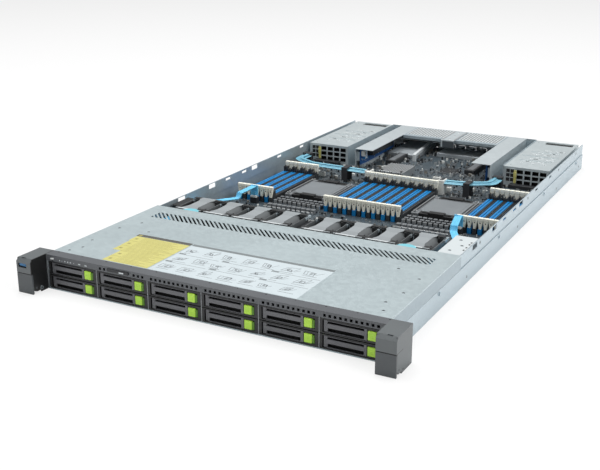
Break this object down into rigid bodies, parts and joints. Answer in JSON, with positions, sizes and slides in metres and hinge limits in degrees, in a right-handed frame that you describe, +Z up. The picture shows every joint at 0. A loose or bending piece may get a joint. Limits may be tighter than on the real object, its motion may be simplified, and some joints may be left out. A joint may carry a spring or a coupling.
{
  "type": "rack server",
  "caption": "Shallow wide steel rack server with hot-swap drive bays at the front, a fan row, memory banks, processor sockets and slide-in power supplies at the rear.",
  "frame": {"origin": "on the underside, under the middle of the box over the whole part", "axes": "+X to the right seen from the front, +Y from the drive bays to the rear, +Z up"},
  "size_m": [0.4826, 0.918, 0.0435],
  "materials": {
    "galvanised_steel": "satin",
    "psu_steel": "satin",
    "grey_plastic": "matte",
    "black_plastic": "matte",
    "green_plastic": "matte",
    "fan_plastic": "matte",
    "circuit_board": "satin",
    "blue_plastic": "satin",
    "button_plastic": "matte",
    "cable_blue": "satin"
  },
  "bodies": {
    "root": {"chassis_tray": "galvanised_steel", "front_cover": "galvanised_steel", "front_frame": "grey_plastic", "rack_ears": "grey_plastic", "drive_cage_and_backplane": "galvanised_steel", "fan_housings": "fan_plastic", "mainboard": "circuit_board", "memory_sockets": "blue_plastic", "riser_cages": "galvanised_steel", "internal_cables": "cable_blue"},
    "carrier_01": {"drive_carrier_01": "black_plastic"},
    "lever_01": {"drive_lever_01": "black_plastic"},
    "latch_01": {"drive_latch_01": "green_plastic"},
    "carrier_02": {"drive_carrier_02": "black_plastic"},
    "lever_02": {"drive_lever_02": "black_plastic"},
    "latch_02": {"drive_latch_02": "green_plastic"},
    "carrier_03": {"drive_carrier_03": "black_plastic"},
    "lever_03": {"drive_lever_03": "black_plastic"},
    "latch_03": {"drive_latch_03": "green_plastic"},
    "carrier_04": {"drive_carrier_04": "black_plastic"},
    "lever_04": {"drive_lever_04": "black_plastic"},
    "latch_04": {"drive_latch_04": "green_plastic"},
    "carrier_05": {"drive_carrier_05": "black_plastic"},
    "lever_05": {"drive_lever_05": "black_plastic"},
    "latch_05": {"drive_latch_05": "green_plastic"},
    "carrier_06": {"drive_carrier_06": "black_plastic"},
    "lever_06": {"drive_lever_06": "black_plastic"},
    "latch_06": {"drive_latch_06": "green_plastic"},
    "carrier_07": {"drive_carrier_07": "black_plastic"},
    "lever_07": {"drive_lever_07": "black_plastic"},
    "latch_07": {"drive_latch_07": "green_plastic"},
    "carrier_08": {"drive_carrier_08": "black_plastic"},
    "lever_08": {"drive_lever_08": "black_plastic"},
    "latch_08": {"drive_latch_08": "green_plastic"},
    "carrier_09": {"drive_carrier_09": "black_plastic"},
    "lever_09": {"drive_lever_09": "black_plastic"},
    "latch_09": {"drive_latch_09": "green_plastic"},
    "carrier_10": {"drive_carrier_10": "black_plastic"},
    "lever_10": {"drive_lever_10": "black_plastic"},
    "latch_10": {"drive_latch_10": "green_plastic"},
    "carrier_11": {"drive_carrier_11": "black_plastic"},
    "lever_11": {"drive_lever_11": "black_plastic"},
    "latch_11": {"drive_latch_11": "green_plastic"},
    "carrier_12": {"drive_carrier_12": "black_plastic"},
    "lever_12": {"drive_lever_12": "black_plastic"},
    "latch_12": {"drive_latch_12": "green_plastic"},
    "fan_rotor_1": {"fan_rotor_1": "black_plastic"},
    "fan_rotor_2": {"fan_rotor_2": "black_plastic"},
    "fan_rotor_3": {"fan_rotor_3": "black_plastic"},
    "fan_rotor_4": {"fan_rotor_4": "black_plastic"},
    "fan_rotor_5": {"fan_rotor_5": "black_plastic"},
    "fan_rotor_6": {"fan_rotor_6": "black_plastic"},
    "fan_rotor_7": {"fan_rotor_7": "black_plastic"},
    "fan_rotor_8": {"fan_rotor_8": "black_plastic"},
    "power_supply_left": {"power_supply_left": "psu_steel"},
    "ear_flap_left": {"ear_flap_left": "grey_plastic"},
    "power_supply_right": {"power_supply_right": "psu_steel"},
    "ear_flap_right": {"ear_flap_right": "grey_plastic"},
    "power_button": {"power_button": "button_plastic"},
    "service_tag": {"service_tag": "black_plastic"}
  },
  "joints": [
    {"name": "carrier_slide_01", "type": "slide", "parent": "root", "child": "carrier_01", "axis": [0, -1, 0], "range_m": [0, 0.11]},
    {"name": "lever_hinge_01", "type": "hinge", "parent": "carrier_01", "child": "lever_01", "pos_m": [-0.2103, -0.4296, 0.0097], "axis": [0, 0, -1], "range_deg": [0, 50]},
    {"name": "latch_press_01", "type": "slide", "parent": "carrier_01", "child": "latch_01", "axis": [0, 1, 0], "range_m": [0, 0.002], "stiffness_N_per_m": 400},
    {"name": "carrier_slide_02", "type": "slide", "parent": "root", "child": "carrier_02", "axis": [0, -1, 0], "range_m": [0, 0.11]},
    {"name": "lever_hinge_02", "type": "hinge", "parent": "carrier_02", "child": "lever_02", "pos_m": [-0.1381, -0.4296, 0.0097], "axis": [0, 0, -1], "range_deg": [0, 50]},
    {"name": "latch_press_02", "type": "slide", "parent": "carrier_02", "child": "latch_02", "axis": [0, 1, 0], "range_m": [0, 0.002], "stiffness_N_per_m": 400},
    {"name": "carrier_slide_03", "type": "slide", "parent": "root", "child": "carrier_03", "axis": [0, -1, 0], "range_m": [0, 0.11]},
    {"name": "lever_hinge_03", "type": "hinge", "parent": "carrier_03", "child": "lever_03", "pos_m": [-0.0659, -0.4296, 0.0097], "axis": [0, 0, -1], "range_deg": [0, 50]},
    {"name": "latch_press_03", "type": "slide", "parent": "carrier_03", "child": "latch_03", "axis": [0, 1, 0], "range_m": [0, 0.002], "stiffness_N_per_m": 400},
    {"name": "carrier_slide_04", "type": "slide", "parent": "root", "child": "carrier_04", "axis": [0, -1, 0], "range_m": [0, 0.11]},
    {"name": "lever_hinge_04", "type": "hinge", "parent": "carrier_04", "child": "lever_04", "pos_m": [0.0063, -0.4296, 0.0097], "axis": [0, 0, -1], "range_deg": [0, 50]},
    {"name": "latch_press_04", "type": "slide", "parent": "carrier_04", "child": "latch_04", "axis": [0, 1, 0], "range_m": [0, 0.002], "stiffness_N_per_m": 400},
    {"name": "carrier_slide_05", "type": "slide", "parent": "root", "child": "carrier_05", "axis": [0, -1, 0], "range_m": [0, 0.11]},
    {"name": "lever_hinge_05", "type": "hinge", "parent": "carrier_05", "child": "lever_05", "pos_m": [0.0785, -0.4296, 0.0097], "axis": [0, 0, -1], "range_deg": [0, 50]},
    {"name": "latch_press_05", "type": "slide", "parent": "carrier_05", "child": "latch_05", "axis": [0, 1, 0], "range_m": [0, 0.002], "stiffness_N_per_m": 400},
    {"name": "carrier_slide_06", "type": "slide", "parent": "root", "child": "carrier_06", "axis": [0, -1, 0], "range_m": [0, 0.11]},
    {"name": "lever_hinge_06", "type": "hinge", "parent": "carrier_06", "child": "lever_06", "pos_m": [0.1507, -0.4296, 0.0097], "axis": [0, 0, -1], "range_deg": [0, 50]},
    {"name": "latch_press_06", "type": "slide", "parent": "carrier_06", "child": "latch_06", "axis": [0, 1, 0], "range_m": [0, 0.002], "stiffness_N_per_m": 400},
    {"name": "carrier_slide_07", "type": "slide", "parent": "root", "child": "carrier_07", "axis": [0, -1, 0], "range_m": [0, 0.11]},
    {"name": "lever_hinge_07", "type": "hinge", "parent": "carrier_07", "child": "lever_07", "pos_m": [-0.2103, -0.4296, 0.0271], "axis": [0, 0, -1], "range_deg": [0, 50]},
    {"name": "latch_press_07", "type": "slide", "parent": "carrier_07", "child": "latch_07", "axis": [0, 1, 0], "range_m": [0, 0.002], "stiffness_N_per_m": 400},
    {"name": "carrier_slide_08", "type": "slide", "parent": "root", "child": "carrier_08", "axis": [0, -1, 0], "range_m": [0, 0.11]},
    {"name": "lever_hinge_08", "type": "hinge", "parent": "carrier_08", "child": "lever_08", "pos_m": [-0.1381, -0.4296, 0.0271], "axis": [0, 0, -1], "range_deg": [0, 50]},
    {"name": "latch_press_08", "type": "slide", "parent": "carrier_08", "child": "latch_08", "axis": [0, 1, 0], "range_m": [0, 0.002], "stiffness_N_per_m": 400},
    {"name": "carrier_slide_09", "type": "slide", "parent": "root", "child": "carrier_09", "axis": [0, -1, 0], "range_m": [0, 0.11]},
    {"name": "lever_hinge_09", "type": "hinge", "parent": "carrier_09", "child": "lever_09", "pos_m": [-0.0659, -0.4296, 0.0271], "axis": [0, 0, -1], "range_deg": [0, 50]},
    {"name": "latch_press_09", "type": "slide", "parent": "carrier_09", "child": "latch_09", "axis": [0, 1, 0], "range_m": [0, 0.002], "stiffness_N_per_m": 400},
    {"name": "carrier_slide_10", "type": "slide", "parent": "root", "child": "carrier_10", "axis": [0, -1, 0], "range_m": [0, 0.11]},
    {"name": "lever_hinge_10", "type": "hinge", "parent": "carrier_10", "child": "lever_10", "pos_m": [0.0063, -0.4296, 0.0271], "axis": [0, 0, -1], "range_deg": [0, 50]},
    {"name": "latch_press_10", "type": "slide", "parent": "carrier_10", "child": "latch_10", "axis": [0, 1, 0], "range_m": [0, 0.002], "stiffness_N_per_m": 400},
    {"name": "carrier_slide_11", "type": "slide", "parent": "root", "child": "carrier_11", "axis": [0, -1, 0], "range_m": [0, 0.11]},
    {"name": "lever_hinge_11", "type": "hinge", "parent": "carrier_11", "child": "lever_11", "pos_m": [0.0785, -0.4296, 0.0271], "axis": [0, 0, -1], "range_deg": [0, 50]},
    {"name": "latch_press_11", "type": "slide", "parent": "carrier_11", "child": "latch_11", "axis": [0, 1, 0], "range_m": [0, 0.002], "stiffness_N_per_m": 400},
    {"name": "carrier_slide_12", "type": "slide", "parent": "root", "child": "carrier_12", "axis": [0, -1, 0], "range_m": [0, 0.11]},
    {"name": "lever_hinge_12", "type": "hinge", "parent": "carrier_12", "child": "lever_12", "pos_m": [0.1507, -0.4296, 0.0271], "axis": [0, 0, -1], "range_deg": [0, 50]},
    {"name": "latch_press_12", "type": "slide", "parent": "carrier_12", "child": "latch_12", "axis": [0, 1, 0], "range_m": [0, 0.002], "stiffness_N_per_m": 400},
    {"name": "fan_spin_1", "type": "hinge", "parent": "root", "child": "fan_rotor_1", "pos_m": [-0.176, -0.184, 0.0215], "axis": [0, 1, 0], "continuous": true},
    {"name": "fan_spin_2", "type": "hinge", "parent": "root", "child": "fan_rotor_2", "pos_m": [-0.1311, -0.184, 0.0215], "axis": [0, 1, 0], "continuous": true},
    {"name": "fan_spin_3", "type": "hinge", "parent": "root", "child": "fan_rotor_3", "pos_m": [-0.0862, -0.184, 0.0215], "axis": [0, 1, 0], "continuous": true},
    {"name": "fan_spin_4", "type": "hinge", "parent": "root", "child": "fan_rotor_4", "pos_m": [-0.0413, -0.184, 0.0215], "axis": [0, 1, 0], "continuous": true},
    {"name": "fan_spin_5", "type": "hinge", "parent": "root", "child": "fan_rotor_5", "pos_m": [0.02, -0.184, 0.0215], "axis": [0, 1, 0], "continuous": true},
    {"name": "fan_spin_6", "type": "hinge", "parent": "root", "child": "fan_rotor_6", "pos_m": [0.0649, -0.184, 0.0215], "axis": [0, 1, 0], "continuous": true},
    {"name": "fan_spin_7", "type": "hinge", "parent": "root", "child": "fan_rotor_7", "pos_m": [0.1098, -0.184, 0.0215], "axis": [0, 1, 0], "continuous": true},
    {"name": "fan_spin_8", "type": "hinge", "parent": "root", "child": "fan_rotor_8", "pos_m": [0.1547, -0.184, 0.0215], "axis": [0, 1, 0], "continuous": true},
    {"name": "supply_slide_left", "type": "slide", "parent": "root", "child": "power_supply_left", "axis": [0, 1, 0], "range_m": [0, 0.19]},
    {"name": "flap_hinge_left", "type": "hinge", "parent": "root", "child": "ear_flap_left", "pos_m": [-0.23255, -0.452, 0.007], "axis": [1, 0, 0], "range_deg": [0, 90]},
    {"name": "supply_slide_right", "type": "slide", "parent": "root", "child": "power_supply_right", "axis": [0, 1, 0], "range_m": [0, 0.19]},
    {"name": "flap_hinge_right", "type": "hinge", "parent": "root", "child": "ear_flap_right", "pos_m": [0.23255, -0.452, 0.007], "axis": [1, 0, 0], "range_deg": [0, 90]},
    {"name": "power_press", "type": "slide", "parent": "root", "child": "power_button", "axis": [0, 1, 0], "range_m": [0, 0.001], "stiffness_N_per_m": 400},
    {"name": "tag_slide", "type": "slide", "parent": "root", "child": "service_tag", "axis": [0, -1, 0], "range_m": [0, 0.036]}
  ]
}
